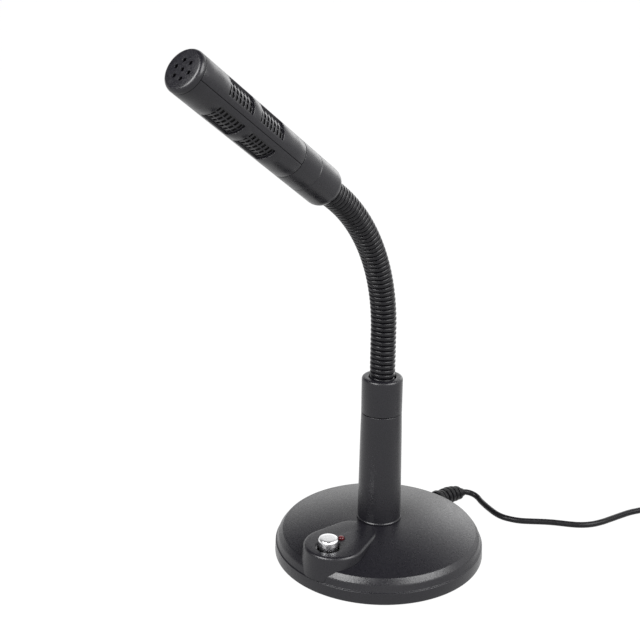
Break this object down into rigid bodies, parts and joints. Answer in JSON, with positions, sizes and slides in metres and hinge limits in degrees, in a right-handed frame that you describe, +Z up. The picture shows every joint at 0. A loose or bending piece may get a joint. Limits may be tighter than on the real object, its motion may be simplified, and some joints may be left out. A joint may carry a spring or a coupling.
{
  "type": "desktop microphone",
  "caption": "Desktop microphone: weighted round base with a push button and lamp, a post, a gooseneck and a slim capsule with grille windows, on a USB lead.",
  "frame": {"origin": "centre of the base's flat underside, on the desk", "axes": "+Z up along the post; -Y towards the front, where the button and the capsule are; +X to the object's own left, seen from behind the lead"},
  "size_m": [0.1928, 0.2836, 0.2423],
  "materials": {
    "black_shell": "satin",
    "soft_black": "matte",
    "neck_steel": "satin",
    "silver": "polished",
    "steel": "brushed",
    "cast_weight": "raw",
    "brass": "machined",
    "board": "satin",
    "component_black": "matte",
    "component_white": "satin",
    "led_red": "clear tinted",
    "foam": "matte"
  },
  "bodies": {
    "base": {"base_cover": "black_shell", "base_plate": "black_shell", "foot_pad": "soft_black", "ballast_plate": "cast_weight", "pod_cover": "black_shell", "switch_body": "component_black", "led": "led_red", "circuit_board": "board", "audio_chip": "component_black", "crystal": "steel", "capacitor": "component_black", "mic_socket": "component_white", "usb_socket": "component_white", "post": "black_shell", "post_washer": "steel", "post_nut": "brass", "collar": "black_shell", "mic_lead": "soft_black", "neck_foot_ferrule": "neck_steel", "strain_relief": "soft_black", "lead_inner": "soft_black", "usb_lead": "soft_black", "usb_lead_end": "soft_black", "lead_coil": "soft_black", "coil_tie": "component_white", "plug_body": "soft_black", "plug_shell": "steel", "plug_insert": "component_white", "base_screw_1": "steel", "base_screw_2": "steel", "base_screw_3": "steel", "base_screw_4": "steel"},
    "button": {"button_cap": "silver", "switch_plunger": "component_white"},
    "neck_01": {"neck_link_01": "neck_steel"},
    "neck_02": {"neck_link_02": "neck_steel"},
    "neck_03": {"neck_link_03": "neck_steel"},
    "neck_04": {"neck_link_04": "neck_steel"},
    "neck_05": {"neck_link_05": "neck_steel"},
    "neck_06": {"neck_link_06": "neck_steel"},
    "neck_07": {"neck_link_07": "neck_steel"},
    "neck_08": {"neck_link_08": "neck_steel"},
    "neck_09": {"neck_link_09": "neck_steel"},
    "neck_10": {"neck_link_10": "neck_steel"},
    "neck_11": {"neck_link_11": "neck_steel"},
    "capsule": {"neck_head_ferrule": "neck_steel", "capsule_tail": "black_shell", "capsule_shell_upper": "black_shell", "capsule_shell_lower": "black_shell", "window_foam": "foam", "front_cap": "black_shell", "face_foam": "foam", "microphone_element": "steel", "element_holder": "soft_black", "element_lead": "soft_black"}
  },
  "joints": [
    {"name": "button_press", "type": "slide", "parent": "base", "child": "button", "axis": [0, 0, -1], "range_m": [0, 0.0015], "stiffness_N_per_m": 600, "springref_m": -0.0005},
    {"name": "neck_bend_01", "type": "hinge", "parent": "base", "child": "neck_01", "pos_m": [0, 0, 0.09453], "axis": [1, 0, 0], "range_deg": [-9, 6]},
    {"name": "neck_lean_02", "type": "hinge", "parent": "neck_01", "child": "neck_02", "pos_m": [0, 0, 0.10359], "axis": [0, 1, 0], "range_deg": [-8, 8]},
    {"name": "neck_bend_03", "type": "hinge", "parent": "neck_02", "child": "neck_03", "pos_m": [0, 0, 0.11265], "axis": [1, 0, 0], "range_deg": [-9, 6]},
    {"name": "neck_lean_04", "type": "hinge", "parent": "neck_03", "child": "neck_04", "pos_m": [0, -0.00052, 0.12169], "axis": [0, 0.9935, 0.1134], "range_deg": [-8, 8]},
    {"name": "neck_bend_05", "type": "hinge", "parent": "neck_04", "child": "neck_05", "pos_m": [0, -0.00205, 0.13062], "axis": [1, 0, 0], "range_deg": [-9, 6]},
    {"name": "neck_lean_06", "type": "hinge", "parent": "neck_05", "child": "neck_06", "pos_m": [0, -0.00458, 0.13931], "axis": [0, 0.9427, 0.3336], "range_deg": [-8, 8]},
    {"name": "neck_bend_07", "type": "hinge", "parent": "neck_06", "child": "neck_07", "pos_m": [0, -0.00808, 0.14766], "axis": [1, 0, 0], "range_deg": [-9, 6]},
    {"name": "neck_lean_08", "type": "hinge", "parent": "neck_07", "child": "neck_08", "pos_m": [0, -0.0125, 0.15556], "axis": [0, 0.8437, 0.5368], "range_deg": [-8, 8]},
    {"name": "neck_bend_09", "type": "hinge", "parent": "neck_08", "child": "neck_09", "pos_m": [0, -0.01779, 0.16292], "axis": [1, 0, 0], "range_deg": [-9, 6]},
    {"name": "neck_lean_10", "type": "hinge", "parent": "neck_09", "child": "neck_10", "pos_m": [0, -0.02387, 0.16962], "axis": [0, 0.7016, 0.7126], "range_deg": [-8, 8]},
    {"name": "neck_bend_11", "type": "hinge", "parent": "neck_10", "child": "neck_11", "pos_m": [0, -0.03067, 0.1756], "axis": [1, 0, 0], "range_deg": [-9, 6]},
    {"name": "neck_lean_12", "type": "hinge", "parent": "neck_11", "child": "capsule", "pos_m": [0, -0.03806, 0.18085], "axis": [0, 0.5635, 0.8261], "range_deg": [-8, 8]}
  ],
  "couplings": [
    {"joint": "neck_bend_03", "follows": "neck_bend_01", "ratio": 1},
    {"joint": "neck_lean_04", "follows": "neck_lean_02", "ratio": 1},
    {"joint": "neck_bend_05", "follows": "neck_bend_01", "ratio": 1},
    {"joint": "neck_lean_06", "follows": "neck_lean_02", "ratio": 1},
    {"joint": "neck_bend_07", "follows": "neck_bend_01", "ratio": 1},
    {"joint": "neck_lean_08", "follows": "neck_lean_02", "ratio": 1},
    {"joint": "neck_bend_09", "follows": "neck_bend_01", "ratio": 1},
    {"joint": "neck_lean_10", "follows": "neck_lean_02", "ratio": 1},
    {"joint": "neck_bend_11", "follows": "neck_bend_01", "ratio": 1},
    {"joint": "neck_lean_12", "follows": "neck_lean_02", "ratio": 1}
  ]
}
